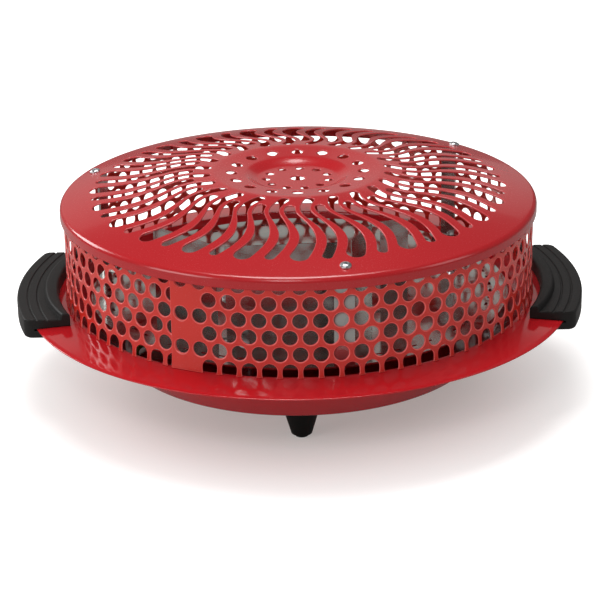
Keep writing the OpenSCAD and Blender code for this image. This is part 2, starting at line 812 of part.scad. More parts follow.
// Hairpin of sheathed tube: two legs joined by a half turn, both ends on the left
module hairpin(r) {
  color(sheath) translate([bend_x, 0, element_z]) {
    rotate([0, 0, -90]) rotate_extrude(angle = 180) translate([r, 0]) circle(d = element_d);
    for (y = [-r, r]) translate([0, y, 0]) rotate([0, -90, 0])
      cylinder(d = element_d, h = bend_x + element_end);
  }
}

module element_inner() {
  hairpin(inner_bend);
}

module element_outer() {
  hairpin(outer_bend);
}

module element_bushes() {
  color(ceramic) for (y = [-outer_bend, -inner_bend, inner_bend, outer_bend])
    translate([-wall_x(y), y, element_z]) rotate([0, 90, 0]) difference() {
      cylinder(d = bush_d, h = bush_l, center = true);
      cylinder(d = element_d + 2 * clear, h = bush_l + 2 * over, center = true);
    }
}

module element_pins() {
  color(zinc) legs() translate([0, 0, element_end]) cylinder(d = pin_d, h = pin_l);
}

// Strap that joins the two pins on the neutral side
module neutral_strap() {
  mid = (inner_bend + outer_bend) / 2;
  x = -element_end - pin_l / 2;
  color(brass) difference() {
    translate([x, mid, element_z]) cube([strap_t, outer_bend - inner_bend + strap_w, strap_w], center = true);
    legs() translate([0, 0, element_end]) cylinder(d = pin_d + clear, h = pin_l + over);
  }
}

// Wiring

module block_screw_spots() {
  for (side = [-1, 1]) translate([-block_x, side * pole_pitch, 0]) children();
}

module terminal_block() {
  color(ceramic) difference() {
    translate([-block_x - block_w / 2, -block_l / 2, pan_floor]) cube([block_w, block_l, block_h]);
    block_screw_spots() {
      hole(m3[0] + 2 * clear, pan_floor - over, block_h + 2 * over);
      hole(m3[1] + 2 * clear, pan_floor + block_h / 2, block_h);
    }
    for (i = [0 : poles - 1], side = [-1, 1]) translate([-block_x + side * block_w / 4, pole_y(i), 0])
      hole(m3[1] + 2 * clear, pan_floor + block_h - m3[2] - 1, block_h);
  }
}

module terminal_screws() {
  color(brass) for (i = [0 : poles - 1], side = [-1, 1])
    translate([-block_x + side * block_w / 4, pole_y(i), pan_floor + block_h - m3[2] - 1])
      cylinder(d = m3[1], h = m3[2]);
}

module block_screws() {
  color(zinc) block_screw_spots() translate([0, 0, pan_floor + block_h / 2])
    screw(m3, block_h / 2 + tray_t + screw_past);
}

module cutout_screw_spots() {
  for (side = [-1, 1]) translate(cutout_at + [side * (cutout_d / 2 + ear_screw), 0]) children();
}

// Disc with two ears under the plate and two blade terminals below
module thermal_cutout() {
  ear_t = 1.5;
  color(bakelite) difference() {
    union() {
      translate([cutout_at[0], cutout_at[1], plate_under - cutout_h]) cylinder(d = cutout_d, h = cutout_h);
      translate([cutout_at[0] - cutout_d / 2 - ear_l, cutout_at[1] - ear_l / 2, plate_under - ear_t])
        cube([cutout_d + 2 * ear_l, ear_l, ear_t]);
      for (side = [-1, 1]) translate([cutout_at[0], cutout_at[1] + side * tab_pitch / 2,
        plate_under - cutout_h - tab_size[2] / 2 + over / 2])
        cube([tab_size[0], tab_size[1], tab_size[2] + over], center = true);
    }
    cutout_screw_spots() hole(m3[0] + 2 * clear, plate_under - ear_t - over, ear_t + 2 * over);
  }
}

module cutout_screws() {
  color(zinc) cutout_screw_spots() translate([0, 0, plate_top]) screw(m3, plate_t + screw_past);
}

// Point at t on the curve from a to d that leaves towards b and arrives from c
function curve(a, b, c, d, t) =
  pow(1 - t, 3) * a + 3 * t * pow(1 - t, 2) * b + 3 * t * t * (1 - t) * c + pow(t, 3) * d;
function curve_way(a, b, c, d, t) =
  pow(1 - t, 2) * (b - a) + 2 * t * (1 - t) * (c - b) + t * t * (d - c);

// Round wire along such a curve, swept with rings of sides points
module wire(a, b, c, d) {
  rings = 18;
  sides = 10;
  points = [for (i = [0 : rings]) let (t = i / rings, way = curve_way(a, b, c, d, t),
    u = cross(way, [0, 1, 0.02]) / norm(cross(way, [0, 1, 0.02])), v = cross(way, u) / norm(cross(way, u)))
    for (k = [0 : sides - 1])
      curve(a, b, c, d, t) + wire_d / 2 * (cos(360 / sides * k) * u + sin(360 / sides * k) * v)];
  walls = [for (i = [0 : rings - 1], k = [0 : sides - 1]) let (m = (k + 1) % sides)
    [i * sides + k, i * sides + m, (i + 1) * sides + m, (i + 1) * sides + k]];
  ends = [[for (k = [sides - 1 : -1 : 0]) k], [for (k = [0 : sides - 1]) rings * sides + k]];
  polyhedron(points, [for (f = concat(walls, ends)) [for (i = [len(f) - 1 : -1 : 0]) f[i]]]);
}

// End of a wire in the block's face, and at the end of a pin
function block_end(i) = [block_face - seat, pole_y(i), pole_z];
function pin_end(y) = [-element_end - pin_l - seat, y, element_z];
function tab_end(side) = [cutout_at[0], cutout_at[1] + side * tab_pitch / 2,
  plate_under - cutout_h - tab_size[2] - seat];

module wire_low() {
  color("black") wire(block_end(2), block_end(2) - [block_reach, 0, 0],
    pin_end(-inner_bend) - [pin_reach, 0, 0], pin_end(-inner_bend));
}

module wire_high() {
  color("saddlebrown") wire(block_end(1), block_end(1) - [block_reach, 0, 0],
    pin_end(-outer_bend) - [pin_reach, 0, 0], pin_end(-outer_bend));
}

module wire_neutral() {
  color("royalblue") wire(block_end(3), block_end(3) - [block_reach, 0, 0],
    tab_end(-1) - [tab_reach / 2, 0, tab_reach], tab_end(-1));
}

module wire_return() {
  reach = 0.6 * (pin_end(outer_bend)[0] - tab_end(1)[0]);
  bow = wire_d;
  color("royalblue") wire(tab_end(1), tab_end(1) + [0, bow, -tab_reach],
    pin_end(outer_bend) + [-reach, bow, -bow], pin_end(outer_bend));
}

module wire_earth() {
  tag = [earth_at[0] - tag_l, earth_at[1], pan_floor + 0.6 * crimp[2]];
  reach = 2 * tag_l;
  color("yellowgreen") wire(block_end(0), block_end(0) - [reach, 0, 0],
    tag + [-reach, reach, 0] * 3 / 4, tag);
}

module earth_tag() {
  color(brass) difference() {
    union() {
      translate([earth_at[0], earth_at[1], pan_floor]) cylinder(d = tag_d, h = tag_t);
      translate([earth_at[0] - tag_l + seat, earth_at[1] - crimp[1] / 2, pan_floor]) cube(crimp);
    }
    translate(earth_at) hole(m4[0] + 2 * clear, pan_floor - over, crimp[2] + 2 * over);
    translate(earth_at) hole(m4[1] + 2 * clear, pan_floor + tag_t, crimp[2]);
  }
}

module earth_screw() {
  color(zinc) translate([earth_at[0], earth_at[1], pan_floor + tag_t]) screw(m4, tag_t + tray_t + screw_past);
}

// Cord inlet: gland with its nose below the pan, a wider bore above, and a nut inside
module cord_gland() {
  collar_h = 3;
  stem_up = 9;
  nose_z = pan_under - collar_h - inlet_l;
  color(bakelite) translate([0, inlet_y, 0]) difference() {
    union() {
      translate([0, 0, nose_z]) cylinder(d1 = stem_d - 2, d2 = stem_d, h = inlet_l);
      translate([0, 0, pan_under - collar_h]) cylinder(d = stem_d + 6, h = collar_h);
      translate([0, 0, pan_under - over]) cylinder(d = stem_d, h = over + tray_t + stem_up);
    }
    hole(inlet_d, nose_z - over, inlet_l + 2 * over);
    hole(inlet_d + 3, nose_z + inlet_l, collar_h + tray_t + stem_up + over);
  }
}

module gland_nut() {
  nut_h = 4.5;
  color(bakelite) translate([0, inlet_y, pan_floor]) difference() {
    cylinder(d = stem_d + 7, h = nut_h, $fn = 6);
    hole(stem_d + 2 * clear, -over, nut_h + 2 * over);
  }
}

tray();
perforated_band();
lid_grille();
handle_left();
handle_right();
handle_screws();
foot_front();
foot_rear_right();
foot_rear_left();
foot_pads();
foot_screws();
floor_plate();
plate_spacers();
spacer_screws();
plate_screws();
post_front();
post_rear_right();
post_rear_left();
post_screws();
lid_screws();
front_shield();
shield_screws();
reflector_dish();
dish_screws();
element_inner();
element_outer();
element_bushes();
element_pins();
neutral_strap();
terminal_block();
terminal_screws();
block_screws();
thermal_cutout();
cutout_screws();
wire_low();
wire_high();
wire_neutral();
wire_return();
wire_earth();
earth_tag();
earth_screw();
cord_gland();
gland_nut();
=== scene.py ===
import math

import bmesh
import bpy
import numpy as np
from mathutils import Matrix, Vector, kdtree
from mathutils.geometry import delaunay_2d_cdt


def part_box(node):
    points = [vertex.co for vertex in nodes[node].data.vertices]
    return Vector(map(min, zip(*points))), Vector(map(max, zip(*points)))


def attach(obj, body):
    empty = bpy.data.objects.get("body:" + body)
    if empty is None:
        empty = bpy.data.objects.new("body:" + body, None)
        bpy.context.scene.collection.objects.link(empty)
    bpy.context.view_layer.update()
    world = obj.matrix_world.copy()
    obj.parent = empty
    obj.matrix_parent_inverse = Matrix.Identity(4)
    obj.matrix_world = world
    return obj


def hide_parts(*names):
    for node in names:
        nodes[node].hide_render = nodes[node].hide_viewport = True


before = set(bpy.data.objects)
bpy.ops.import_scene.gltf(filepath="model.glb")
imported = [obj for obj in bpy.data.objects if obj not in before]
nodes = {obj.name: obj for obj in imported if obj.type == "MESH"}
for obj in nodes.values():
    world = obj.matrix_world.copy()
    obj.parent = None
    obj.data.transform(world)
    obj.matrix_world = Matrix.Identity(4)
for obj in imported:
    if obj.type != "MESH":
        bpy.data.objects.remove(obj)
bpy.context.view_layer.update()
scene = bpy.context.scene

# Camera: a long lens in front of the heater, about 21 degrees above it, aimed at the tray's middle and turned
# by about a degree, as the photo's camera was.
place = Vector((0.0000, -1.4411, 0.6278))
aim = Vector((0.0000, 0.0000, 0.0616))
camera = bpy.data.objects.new("camera", bpy.data.cameras.new("camera"))
scene.collection.objects.link(camera)
camera.data.sensor_width = 36
camera.data.lens = 127.92
camera.data.shift_x = 0.0005
camera.data.shift_y = 0.0008
camera.data.clip_start = 0.05
camera.data.clip_end = 30
camera.matrix_world = (
    Matrix.Translation(place)
    @ (aim - place).to_track_quat("-Z", "Y").to_matrix().to_4x4()
    @ Matrix.Rotation(math.radians(-0.920), 4, "Z")
)
scene.camera = camera
scene.view_settings.view_transform = "Standard"


# Studio: a pale floor under soft boxes, with the strongest overhead, the key at the back left and weaker ones
# on the left, on the right, in front and behind. The world, and the floor away from the heater, look white to
# the camera and are dimmer to all other rays.
class Socket:
    """An output socket of a node tree, with arithmetic."""

    def __init__(self, tree, out):
        self.tree = tree
        self.out = out

    def math(self, operation, *values):
        made = self.tree.nodes.new("ShaderNodeMath")
        made.operation = operation
        for i, value in enumerate(values):
            link(self.tree, made.inputs[i], value)
        return Socket(self.tree, made.outputs[0])

    def __add__(self, other):
        return self.math("ADD", self, other)

    def __sub__(self, other):
        return self.math("SUBTRACT", self, other)

    def __rsub__(self, other):
        return self.math("SUBTRACT", other, self)

    def __mul__(self, other):
        return self.math("MULTIPLY", self, other)

    __radd__ = __add__
    __rmul__ = __mul__


def link(tree, socket, value):
    if isinstance(value, Socket):
        tree.links.new(value.out, socket)
    else:
        socket.default_value = value


class Shader:
    """Nodes of one material or world."""

    def __init__(self, owner):
        owner.use_nodes = True
        self.owner = owner
        self.tree = owner.node_tree

    def node(self, kind, output=0, inputs={}, **settings):
        made = self.tree.nodes.new("ShaderNode" + kind)
        for key, value in settings.items():
            setattr(made, key, value)
        for key, value in inputs.items():
            link(self.tree, made.inputs[key], value)
        return Socket(self.tree, made.outputs[output])

    def ramp(self, value, low, high):
        return self.node("MapRange", 0, {0: value, 1: low, 2: high}, interpolation_type="SMOOTHSTEP")

    def mix(self, share, a, b):
        return self.node("Mix", 2, {0: share, 6: a, 7: b}, data_type="RGBA")

    def fill(self, inputs, name="Principled BSDF"):
        """Set or link the inputs of the shader that the tree starts with."""
        shader = self.tree.nodes[name]
        for key, value in inputs.items():
            link(self.tree, shader.inputs[key], value)
        return self.owner


scene.world = bpy.data.worlds.new("studio")
sky = Shader(scene.world)
seen = sky.node("LightPath", "Is Camera Ray")
sky.fill({"Color": (1, 1, 1, 1), "Strength": seen * 0.88 + 0.12}, "Background")


def softbox(name, place, size, power, tint=(1, 1, 1)):
    light = bpy.data.objects.new(name, bpy.data.lights.new(name, "AREA"))
    light.data.shape = "RECTANGLE"
    light.data.size, light.data.size_y = size
    light.data.energy = power
    light.data.color = tint
    way = Vector((0, 0, 0.1)) - Vector(place)
    light.matrix_world = Matrix.Translation(place) @ way.to_track_quat("-Z", "Y").to_matrix().to_4x4()
    scene.collection.objects.link(light)


softbox("light_top", (-0.05, 0.05, 1.6), (1.0, 0.7), 16)
softbox("light_key", (-1.4, 0.75, 0.8), (0.7, 0.6), 9)
softbox("light_left", (-1.4, -1.0, 0.55), (0.9, 0.7), 7)
softbox("light_right", (1.6, -0.5, 0.9), (0.7, 0.9), 3)
softbox("light_front", (-0.25, -1.9, 1.5), (0.6, 0.35), 7)
softbox("light_back", (-0.3, 2.3, 0.8), (2.4, 1.0), 2.2, (1, 0.96, 0.91))

floor_mesh = bmesh.new()
bmesh.ops.create_grid(floor_mesh, x_segments=2, y_segments=2, size=6)
floor = bpy.data.objects.new("floor", bpy.data.meshes.new("floor"))
floor_mesh.to_mesh(floor.data)
floor_mesh.free()
scene.collection.objects.link(floor)
paper = Shader(bpy.data.materials.new("floor_paper"))
where = paper.node("TexCoord", "Object")
grain = paper.node("TexNoise", 0, {"Vector": where, "Scale": 3.0, "Detail": 3.0})
oval = paper.node("Mapping", 0, {"Vector": where, "Scale": (0.88, 1.0, 1.0)})
away = paper.node("VectorMath", "Value", {0: oval}, operation="LENGTH")
seen = paper.node("LightPath", "Is Camera Ray")
gloss = paper.node("LightPath", "Is Glossy Ray")
bounced = paper.mix(gloss, (0.74, 0.73, 0.72, 1), (0.35, 0.34, 0.33, 1))
white = paper.mix(grain, (0.63, 0.63, 0.62, 1), (0.66, 0.66, 0.65, 1))
# The glow to the camera fades in an oval towards the heater, so the grey round it is painted shade on top of
# the lamps' own shadow.
glow = paper.mix(paper.ramp(away, 0.08, 0.28), (0.31, 0.295, 0.285, 1), (1, 1, 1, 1))
paper.fill(
    {
        "Base Color": paper.mix(seen, bounced, white),
        "Roughness": 0.9,
        "Specular IOR Level": 0.1,
        "Emission Color": paper.mix(seen, (0.06, 0.06, 0.06, 1), glow),
        "Emission Strength": 1.0,
    }
)
floor.data.materials.append(paper.owner)


# Lid: one domed sheet, pressed down in the middle, with a rounded shoulder and a short skirt. Long narrow and
# short wide S-shaped slots alternate round the dome, and round holes fill the middle. All cuts have soft
# edges.
class Build:
    """Points, normals, edge marks and faces of one piece, in millimetres, before its mesh is made."""

    def __init__(self):
        self.points, self.normals, self.marks, self.faces, self.count = [], [], [], [], 0

    def add(self, points, normals, mark=0.0):
        first = self.count
        self.points.append(np.asarray(points, float))
        self.normals.append(np.asarray(normals, float))
        self.marks.append(np.full(len(points), float(mark)))
        self.count += len(points)
        return np.arange(first, self.count)

    def strip(self, a, b):
        """Quads between two closed rows of points. The second lies to the right of the first one's way."""
        self.faces += np.stack([a, b, np.roll(b, -1), np.roll(a, -1)], 1).tolist()

    def make(self, name, material, sharp=None):
        """Mesh with its own normals, or with normals of its faces and edges sharp above an angle."""
        mesh = bpy.data.meshes.new(name)
        mesh.from_pydata((np.concatenate(self.points) / 1000).tolist(), [], self.faces)
        mesh.attributes.new("edge", "FLOAT", "POINT").data.foreach_set("value", np.concatenate(self.marks))
        mesh.shade_smooth()
        if sharp is None:
            mesh.normals_split_custom_set_from_vertices(np.concatenate(self.normals).tolist())
        else:
            mesh.set_sharp_from_angle(angle=math.radians(sharp))
        mesh.materials.append(material)
        piece = bpy.data.objects.new(name, mesh)
        scene.collection.objects.link(piece)
        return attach(piece, "root")


def unit(v):
    return v / np.linalg.norm(v, axis=-1, keepdims=True)


def into_sheet(loop):
    """Mitred unit steps into the sheet, which lies on the left of the loop."""
    ahead = unit(np.roll(loop, -1, 0) - loop)
    left = np.stack([-ahead[:, 1], ahead[:, 0]], 1)
    both = left + np.roll(left, 1, 0)
    return 2 * both / np.maximum((both * both).sum(1, keepdims=True), 0.8)


def sheet(build, place, loops, inner, thick, soft, plain=None):
    """Both faces of a cut sheet and the rounded walls of its loops. place maps flat points to points and
    normals of the upper face. soft has the upper edge's radius, for each loop or each point of it. plain is
    an outer loop with no wall: the rows of its points are returned."""
    sides = [into_sheet(loop) for loop in loops]
    soft = [np.broadcast_to(np.reshape(value, (-1, 1)), (len(loop), 1)) for loop, value in zip(loops, soft)]
    rims = [loop + r * side for loop, r, side in zip(loops, soft, sides)]
    if plain is not None:
        rims.append(plain)
    tree = kdtree.KDTree(sum(map(len, rims)))
    for i, p in enumerate(np.concatenate(rims)):
        tree.insert((p[0], p[1], 0), i)
    tree.balance()
    free = [p for p in inner if tree.find((p[0], p[1], 0))[2] > 1.5]
    flat = np.concatenate(rims + ([np.array(free)] if free else []))
    edges, starts = [], np.cumsum([0] + [len(r) for r in rims])
    for s, e in zip(starts[:-1], starts[1:]):
        edges += [(i, i + 1 if i + 1 < e else s) for i in range(s, e)]
    flat_points, flat_edges = [Vector(p) for p in flat], [(int(a), int(b)) for a, b in edges]
    made = delaunay_2d_cdt(flat_points, flat_edges, [], 2, 1e-5, True)
    now = np.zeros(len(flat), int)
    for i, was in enumerate(made[3]):
        for w in was:
            now[w] = i
    uv = np.array([tuple(v) for v in made[0]])
    points, normals = place(uv)
    top = build.add(points, normals)
    low = build.add(points - thick * normals, -normals)
    walls = {(now[a], now[b]) for a, b in edges}
    left = {(f[i], f[i - 2]): tuple(f) for f in made[2] for i in range(3)}
    waiting, kept = [left[w] for w in walls], set()
    while waiting:
        f = waiting.pop()
        if f not in kept:
            kept.add(f)
            sides_of = [(f[i], f[i - 2]) for i in range(3)]
            waiting += [left[b, a] for a, b in sides_of if (a, b) not in walls and (b, a) in left]
    for f in kept:
        build.faces.append([int(top[i]) for i in f])
        build.faces.append([int(low[i]) for i in reversed(f)])
    for loop, r, side, s, e in zip(loops, soft, sides, starts[:-1], starts[1:]):
        deep = np.minimum(r, 0.6)
        quarter = [(r * (1 - math.sin(a)), deep * (1 - math.cos(a)), a) for a in np.radians([30, 60, 90])]
        far, _ = place(loop - 0.02 * side)
        near, _ = place(loop + 0.02 * side)
        out = unit(far - near)
        row = top[now[s:e]]
        for inset, depth, tilt in quarter + [(0.0, thick - 0.5 * deep, math.pi / 2)]:
            p, n = place(loop + inset * side)
            following = build.add(p - depth * n, n * math.cos(tilt) + out * math.sin(tilt), 1.0)
            build.strip(row, following)
            row = following
        build.strip(row, low[now[s:e]])
    if plain is not None:
        last = now[starts[-2]:starts[-1]]
        return top[last], low[last]


def turned(az, points):
    """Flat points with x along a direction az from the front, counter-clockwise seen from above."""
    a = np.radians(az - 90)
    return points @ np.array([[math.cos(a), math.sin(a)], [-math.sin(a), math.cos(a)]])


def ring(r, n, turn=0.0):
    a = np.radians(turn) + np.arange(n) * 2 * math.pi / n
    return r * np.stack([np.cos(a), np.sin(a)], 1)


lid_low, lid_high = (1000 * np.array(corner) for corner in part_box("lid_grille"))
lid_t = 1.2
lid_r = lid_high[0]
dome_r, shoulder_r, crown_r = 675, 4, 59.5
shoulder = np.array([lid_r - shoulder_r, lid_low[2] + 4.9])
dome_z = shoulder[1] - math.sqrt((dome_r - shoulder_r) ** 2 - shoulder[0] ** 2)


def dome(r):
    """Height of the dome's upper face at the radius r."""
    return dome_z + np.sqrt(dome_r**2 - np.square(r))


step, soft_press = 0.2, 1.1
steps = np.arange(0, 170, step)
crown_z = dome(crown_r)
cup_r, cup_z = [0, 29.5, 36.5, crown_r], [crown_z - 6.1, crown_z - 6.1, crown_z - 2.3, crown_z]
pressed = np.where(steps < crown_r, np.interp(steps, cup_r, cup_z), dome(steps))
weights = np.exp(-np.square(np.arange(-30, 31) * step / soft_press) / 2)
pressed = np.convolve(np.pad(pressed, 30, "edge"), weights / weights.sum(), "valid")
pressed = np.where(steps < crown_r + 10.5, pressed, dome(steps))


def on_dome(uv):
    r = np.hypot(uv[:, 0], uv[:, 1])
    slope = np.interp(r, steps, np.gradient(pressed, step)) / np.maximum(r, 1e-6)
    normals = unit(np.column_stack([-slope * uv[:, 0], -slope * uv[:, 1], np.ones(len(r))]))
    return np.column_stack([uv, np.interp(r, steps, pressed)]), normals


def sway(p):
    """Sideways bend of a slot's middle line at the radius p: a short wave, then a longer one back."""
    first_r, turn_r, long_wave = 64, 96.8, 48.0
    near = -5.3 * np.sin(math.pi * (p - first_r) / (turn_r - first_r))
    return np.where(p < turn_r, near, 6.6 * np.sin(math.pi * (p - turn_r) / long_wave))


def slot_loop(tip_in, tip_out, w_in, w_out):
    """Outline of a slot along x, clockwise."""
    p = np.linspace(tip_in + w_in / 2, tip_out - w_out / 2, 44)
    w = np.interp(p, p[[0, -1]], [w_in, w_out]) / 2
    lean = np.arctan((sway(p + 0.05) - sway(p - 0.05)) / 0.1)
    mid = np.stack([p, sway(p)], 1)
    aside = w[:, None] * np.stack([-np.sin(lean), np.cos(lean)], 1)
    turn = np.radians(np.arange(75, -90, -15))
    last = mid[-1] + w[-1] * np.stack([np.cos(lean[-1] + turn), np.sin(lean[-1] + turn)], 1)
    first = mid[0] - w[0] * np.stack([np.cos(lean[0] + turn), np.sin(lean[0] + turn)], 1)
    return np.concatenate([mid + aside, last, (mid - aside)[::-1], first])


long_slot = slot_loop(62, lid_r - 22.5, 6.7, 6.7)
wide_slot = slot_loop(74, lid_r - 21, 7, 12.5)
slot_step, long_turn, wide_turn, inner_turn = 15, 7.2, -0.3, 0.37
lid_loops = [turned(slot_step * k + long_turn, long_slot) for k in range(24)]
lid_loops += [turned(slot_step * k + wide_turn, wide_slot) for k in range(24)]
lid_loops += [turned(22.5 * k, ring(4, 32)[::-1] + [46.75, 0]) for k in range(16)]
lid_loops += [turned(360 / 11 * (k + inner_turn), ring(3, 28)[::-1] + [22.4, 0]) for k in range(11)]
lid_loops.append(ring(5, 36)[::-1])
lid_screw_az = [11, 131, 251]
inner_r = np.arange(8, 148, 2.8)
lid_inner = np.concatenate([ring(r, max(12, round(2 * math.pi * r / 3.2)), r) for r in inner_r])

lid = Build()
seam_r, seam_n = 150, 240
around = ring(seam_r, seam_n)
upper_row, under_row = sheet(lid, on_dome, lid_loops, lid_inner, lid_t, [0.75] * len(lid_loops), around)
arc = np.linspace(math.acos(shoulder[0] / (dome_r - shoulder_r)), 0, 13)
outside = [(r, dome(r), math.acos(r / dome_r)) for r in np.arange(152.5, 164.6, 2.4)]
outside += [(*(shoulder + shoulder_r * np.array([math.cos(a), math.sin(a)])), a) for a in arc]
outside += [(lid_r, lid_low[2] + h, 0.0) for h in (3.2, 1.6, 0.5)]
outside += [(lid_r - 0.15, lid_low[2] + 0.15, math.radians(-45)), (lid_r - 0.5, lid_low[2], -math.pi / 2)]
inside = [(lid_r - 0.8, lid_low[2], -math.pi / 2), (lid_r - lid_t, lid_low[2] + 0.4, math.pi)]
inside += [(lid_r - lid_t, shoulder[1], math.pi)]
under_r = shoulder_r - lid_t
inside += [(*(shoulder + under_r * np.array([math.cos(a), math.sin(a)])), a + math.pi) for a in arc[::-3]]
row = upper_row
out = around / seam_r
for r, z, tilt in outside + inside:
    following = lid.add(
        np.column_stack([out * r, np.full(seam_n, z)]),
        np.column_stack([out * math.cos(tilt), np.full(seam_n, math.sin(tilt))]),
    )
    lid.strip(row, following)
    row = following
lid.strip(row, under_row)


def enamel(name, color, deep, rough, peel, coat, highlight_share):
    """Stoved paint: slow drifts of colour, a fine orange peel, dust specks, painted highlights on cut edges.
    """
    paint = Shader(bpy.data.materials.new(name))
    where = paint.node("TexCoord", "Object")
    drift = paint.node("TexNoise", 0, {"Vector": where, "Scale": 9.0, "Detail": 3.0})
    fine = paint.node("TexNoise", 0, {"Vector": where, "Scale": 520.0, "Detail": 2.0})
    dust = paint.node("TexNoise", 0, {"Vector": where, "Scale": 1500.0, "Detail": 1.0})
    # The edge mark blends a lighter red over cut edges: a painted highlight on the rims of holes and slots.
    edge_highlight = paint.node("Attribute", "Fac", attribute_name="edge")
    base = paint.mix(paint.ramp(drift, 0.3, 0.7), (*deep, 1), (*color, 1))
    lighter = tuple(min(1.0, c * 1.25 + 0.12) for c in color)
    base = paint.mix(edge_highlight * highlight_share, base, (*lighter, 1))
    return paint.fill(
        {
            "Base Color": base,
            "Roughness": rough + (drift - 0.5) * 0.08 + paint.ramp(dust, 0.62, 0.75) * 0.05,
            "Specular IOR Level": 0.5,
            "Coat Weight": coat,
            "Coat Roughness": 0.06,
            "Normal": paint.node("Bump", 0, {"Height": fine, "Strength": peel, "Distance": 0.0004}),
        }
    )


lid_paint = enamel("lid_enamel", (0.54, 0.013, 0.018), (0.51, 0.011, 0.016), 0.24, 0.02, 0.4, 0.35)
lid_piece = lid.make("lid", lid_paint)
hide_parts("lid_grille")

# Guard band: a strip of punched sheet rolled to a ring. Its lower edge runs through a row of holes, which
# leaves teeth; below the lowest full row it is creased outwards. Its ends lap at the front left.
band_low, band_high = (1000 * np.array(corner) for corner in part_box("perforated_band"))
band_r = band_high[0] - 1.6
columns = 78
pitch = 2 * math.pi * band_r / columns
row_rise = pitch * math.sin(math.radians(60))
foot_z = band_low[2] + 0.1
tooth_z = foot_z + 4.6
crease_z = tooth_z + row_rise
lap_az = -30.3
lap_end = pitch * columns + 14.3
hole_r, band_t, flare = 5, 1.0, 1.6 / (crease_z - foot_z)


def on_band(uv):
    az = np.radians(lap_az - 90) + uv[:, 0] / band_r
    low = np.maximum(crease_z - uv[:, 1], 0)
    soft_low = np.where(low > 2, low - 1, low * low / 4)
    lap = 1.02 * np.square(np.clip(1 - uv[:, 0] / 75, 0, 1))
    r = band_r + flare * soft_low + lap
    tilt = -np.arctan(flare * np.clip(low / 2, 0, 1))
    out = np.stack([np.cos(az), np.sin(az)], 1)
    points = np.column_stack([out * r[:, None], uv[:, 1]])
    return points, np.column_stack([out * np.cos(tilt)[:, None], -np.sin(tilt)])


def az_to_u(az):
    return math.radians(az - lap_az) * band_r


step_az = 360 / columns
band_loops, band_soft = [], []
first_u, last_u = 24, lap_end - 6
for row_number in range(1, 6):
    even = row_number % 2 == 0
    for k in range(-7, 74):
        u = az_to_u((k + 0.5 if even else k) * step_az)
        if (first_u if even else 6) < u < last_u:
            band_loops.append(ring(hole_r, 26)[::-1] + [u, tooth_z + row_number * row_rise])
            band_soft.append(0.95 if row_number < 5 else 0.25)
lower_edge = [(0.0, foot_z)]
for k in range(-5, 73):
    u = az_to_u((k + 0.5) * step_az)
    if u < first_u or u > last_u:
        continue
    arch = np.radians(np.arange(180, -1, -15))
    lower_edge += [(u - 4.5, foot_z), (u - 4.75, foot_z + 1.0), (u - 5.0, foot_z + 2.0)]
    lower_edge += [(u + 5.1 * math.cos(a), tooth_z + 5.1 * math.sin(a)) for a in arch]
    lower_edge += [(u + 5.0, foot_z + 2.0), (u + 4.75, foot_z + 1.0), (u + 4.5, foot_z)]
lower_edge += [(lap_end, foot_z)]
upper_edge = [(u, band_high[2]) for u in np.linspace(lap_end, 0, 320)]
left_edge = [(0.0, z) for z in np.linspace(band_high[2], foot_z, 18)[1:-1]]
right_edge = [(lap_end, z) for z in np.linspace(foot_z, band_high[2], 18)[1:-1]]
outline = np.array(lower_edge + right_edge + upper_edge + left_edge)
band_soft.append(np.where(outline[:, 1] < band_high[2] - 2, 0.6, 0.2))
band = Build()
sheet(band, on_band, band_loops + [outline], [], band_t, band_soft)
# The band carries the strongest painted highlight on its hole rims and teeth.
band_paint = enamel("band_enamel", (0.72, 0.03, 0.019), (0.68, 0.026, 0.017), 0.24, 0.03, 0.3, 0.9)
band_piece = band.make("guard_band", band_paint)
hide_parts("perforated_band")


# Tray: a pressed pan with a wide flange that rises a little towards the band. Glossier than the lid, it
# mirrors the band's teeth. Its rim is rounded.
def bent(a, b, c, r, n=8):
    """Arc of radius r round the corner b, from the side of a to the side of c."""
    a, b, c = (np.array(p, float) for p in (a, b, c))
    u, v = unit(a - b), unit(c - b)
    half = math.acos(float(u @ v)) / 2
    centre = b + unit(u + v) * r / math.sin(half)
    p, q = b + u * r / math.tan(half) - centre, b + v * r / math.tan(half) - centre
    start, stop = math.atan2(p[1], p[0]), math.atan2(q[1], q[0])
    sweep = (stop - start + 3 * math.pi) % (2 * math.pi) - math.pi
    angles = [start + sweep * i / n for i in range(n + 1)]
    return [centre + r * np.array([math.cos(angle), math.sin(angle)]) for angle in angles]


def stretch(a, b, n):
    return [np.array(a) + (np.array(b) - np.array(a)) * i / n for i in range(1, n)]


def spun(build, line, segments):
    """Surface of a closed line of (r, z) points turned round the axis. Its outside lies on the right."""
    line = np.array(line)
    ahead = np.roll(line, -1, 0) - line
    behind = line - np.roll(line, 1, 0)
    way = unit(unit(ahead) + unit(behind))
    out = ring(1, segments)
    rows = []
    for (r, z), (wr, wz) in zip(line, way):
        points = np.column_stack([out * r, np.full(segments, z)])
        rows.append(build.add(points, np.column_stack([out * -wz, np.full(segments, wr)])))
    for a, b in zip(rows, rows[1:] + rows[:1]):
        build.strip(a, b)


